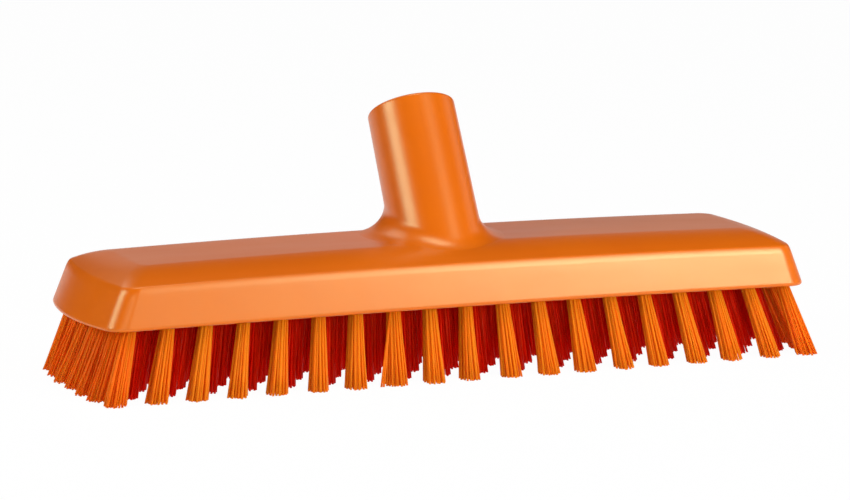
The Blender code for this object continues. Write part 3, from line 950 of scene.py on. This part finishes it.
def white_floor(stage):
    """Pale floor that shows white and keeps a soft shadow of the brush."""
    half = stage.floor_width / 2
    bm = bmesh.new()
    corners = [bm.verts.new((x * half, y * half, 0))
               for x, y in ((-1, -1), (1, -1), (1, 1), (-1, 1))]
    bm.faces.new(corners)
    finish = Finish("white_floor")
    lit = finish.node("ShaderNodeBsdfDiffuse")
    lit.inputs["Color"].default_value = (*stage.floor_colour, 1)
    white = finish.node("ShaderNodeEmission")
    soften = finish.node("ShaderNodeMath", operation="MULTIPLY")
    soften.inputs[1].default_value = stage.floor_white
    finish.link(background_rays(finish.tree), soften.inputs[0])
    mix = finish.node("ShaderNodeMixShader")
    finish.link(soften.outputs["Value"], mix.inputs["Fac"])
    finish.link(lit.outputs["BSDF"], mix.inputs[1])
    finish.link(white.outputs["Emission"], mix.inputs[2])
    finish.link(mix.outputs["Shader"], finish.output.inputs["Surface"])
    floor = piece_from(bm, "floor", finish.material)


def studio_world(scene, stage):
    """Soft light from all round, with a strength low down and one further up."""
    world = bpy.data.worlds.new("studio")
    world.use_nodes = True
    tree = world.node_tree
    tree.nodes.clear()
    direction = tree.nodes.new("ShaderNodeTexCoord")
    parts = tree.nodes.new("ShaderNodeSeparateXYZ")
    tree.links.new(direction.outputs["Generated"], parts.inputs["Vector"])
    strength = tree.nodes.new("ShaderNodeMapRange")
    strength.interpolation_type = "SMOOTHSTEP"
    low, high = HORIZON_RISE
    strength.inputs["From Min"].default_value = low
    strength.inputs["From Max"].default_value = high
    strength.inputs["To Min"].default_value = stage.horizon
    strength.inputs["To Max"].default_value = stage.ambient
    tree.links.new(parts.outputs["Z"], strength.inputs["Value"])
    light = tree.nodes.new("ShaderNodeBackground")
    tree.links.new(strength.outputs["Result"], light.inputs["Strength"])
    output = tree.nodes.new("ShaderNodeOutputWorld")
    tree.links.new(light.outputs["Background"], output.inputs["Surface"])
    scene.world = world


def direction(turn, rise):
    """Direction at a turn to the right of the front and a rise, both in radians."""
    return Vector((math.sin(turn) * math.cos(rise), -math.cos(turn) * math.cos(rise),
                   math.sin(rise)))


def softbox(name, energy, target):
    """Soft rectangular lamp that faces the target, at its place in the table."""
    turn, rise, reach, size = SOFTBOXES[name]
    away = direction(math.radians(turn), math.radians(rise))
    name += "_softbox"
    lamp = bpy.data.lights.new(name, "AREA")
    lamp.shape = "RECTANGLE"
    lamp.size, lamp.size_y = size
    lamp.energy = energy
    made = bpy.data.objects.new(name, lamp)
    made.location = target + away * reach
    made.rotation_euler = away.to_track_quat("Z", "Y").to_euler()
    made.visible_camera = False
    bpy.context.scene.collection.objects.link(made)


def photo_camera(scene, stage):
    """Camera at the photograph's viewpoint."""
    turn, roll = stage.azimuth, stage.roll
    back = direction(turn, stage.elevation)
    right = Vector((math.cos(turn), math.sin(turn), 0))
    up = back.cross(right)
    right, up = (right * math.cos(roll) + up * math.sin(roll),
                 up * math.cos(roll) - right * math.sin(roll))
    lens = bpy.data.cameras.new("photo_camera")
    lens.lens = stage.lens
    lens.sensor_width = SENSOR_WIDTH
    lens.clip_end = CLIP_END
    camera = bpy.data.objects.new("photo_camera", lens)
    place = Matrix.Translation(Vector(stage.target) + back * stage.distance)
    camera.matrix_world = place @ Matrix((right, up, back)).transposed().to_4x4()
    scene.collection.objects.link(camera)
    scene.camera = camera


# Operators

class BRUSH_OT_moulded_block(bpy.types.Operator):
    """Builds the moulded block with its socket, bore, water passage and tuft holes"""
    bl_idname = "brush.moulded_block"
    bl_label = "Moulded Block"
    bl_options = {"REGISTER", "UNDO"}

    def execute(self, context):
        shape = BrushShape(context.scene)
        finish = finish_named("satin_orange_moulding", satin_moulding,
                              context.scene.brush_finish)
        block = block_body(shape, finish)
        combine(block, tuft_holes(shape), "DIFFERENCE")
        combine(block, socket_outside(shape), "UNION")
        combine(block, bore(shape), "DIFFERENCE")
        combine(block, water_passage(shape), "DIFFERENCE")
        shade_smooth(block)
        even = block.modifiers.new("even normals", "WEIGHTED_NORMAL")
        even.keep_sharp = True
        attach(block, "root")
        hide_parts("brush_block")
        return {"FINISHED"}


class BRUSH_OT_handle_thread(bpy.types.Operator):
    """Builds the coarse handle thread inside the socket"""
    bl_idname = "brush.handle_thread"
    bl_label = "Handle Thread"
    bl_options = {"REGISTER", "UNDO"}

    def execute(self, context):
        finish = finish_named("satin_orange_moulding", satin_moulding,
                              context.scene.brush_finish)
        thread = thread_ridge(BrushShape(context.scene), finish)
        shade_smooth(thread)
        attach(thread, "root")
        return {"FINISHED"}


class BRUSH_OT_filament_tufts(bpy.types.Operator):
    """Builds the filament tufts, one piece for each strip of the solids"""
    bl_idname = "brush.filament_tufts"
    bl_label = "Filament Tufts"
    bl_options = {"REGISTER", "UNDO"}

    def execute(self, context):
        shape = BrushShape(context.scene)
        finish = finish_named("orange_filament", orange_filament,
                              context.scene.brush_finish)
        chance = random.Random(shape.tufts.seed)
        for strip in STRIPS:
            tufts = tuft_row(shape, strip, finish, chance)
            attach(tufts, "root")
            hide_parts(strip)
        return {"FINISHED"}


class BRUSH_OT_studio(bpy.types.Operator):
    """Builds the floor, the lamps and the camera"""
    bl_idname = "brush.studio"
    bl_label = "Studio"
    bl_options = {"REGISTER", "UNDO"}

    def execute(self, context):
        scene = context.scene
        stage = scene.brush_stage
        target = Vector(stage.target)
        white_floor(stage)
        studio_world(scene, stage)
        for name in SOFTBOXES:
            softbox(name, getattr(stage, name + "_power"), target)
        photo_camera(scene, stage)
        scene.view_settings.view_transform = "Standard"
        return {"FINISHED"}


class VIEW3D_PT_scrub_brush(bpy.types.Panel):
    """Lists the brush's pieces and their settings"""
    bl_label = "Scrub Brush"
    bl_space_type = "VIEW_3D"
    bl_region_type = "UI"
    bl_category = "Scrub Brush"

    def draw(self, context):
        layout = self.layout
        for operator in OPERATORS:
            layout.operator(operator.bl_idname)
        for name, (group, label) in GROUPS.items():
            box = layout.box()
            box.label(text=label)
            settings = getattr(context.scene, name)
            for setting in group.__annotations__:
                box.prop(settings, setting)


OPERATORS = (BRUSH_OT_moulded_block, BRUSH_OT_handle_thread, BRUSH_OT_filament_tufts,
             BRUSH_OT_studio)
GROUPS = {
    "brush_block": (BlockSettings, "Block"),
    "brush_socket": (SocketSettings, "Socket"),
    "brush_tufts": (TuftSettings, "Tufts"),
    "brush_finish": (FinishSettings, "Finish"),
    "brush_stage": (StageSettings, "Stage"),
}


def register():
    for name, (group, _) in GROUPS.items():
        bpy.utils.register_class(group)
        setattr(bpy.types.Scene, name, PointerProperty(type=group))
    for made in (*OPERATORS, VIEW3D_PT_scrub_brush):
        bpy.utils.register_class(made)


def unregister():
    for made in (VIEW3D_PT_scrub_brush, *reversed(OPERATORS)):
        bpy.utils.unregister_class(made)
    for name, (group, _) in GROUPS.items():
        delattr(bpy.types.Scene, name)
        bpy.utils.unregister_class(group)


def main():
    register()
    bpy.ops.brush.moulded_block()
    bpy.ops.brush.handle_thread()
    bpy.ops.brush.filament_tufts()
    bpy.ops.brush.studio()


if __name__ == "__main__":
    main()
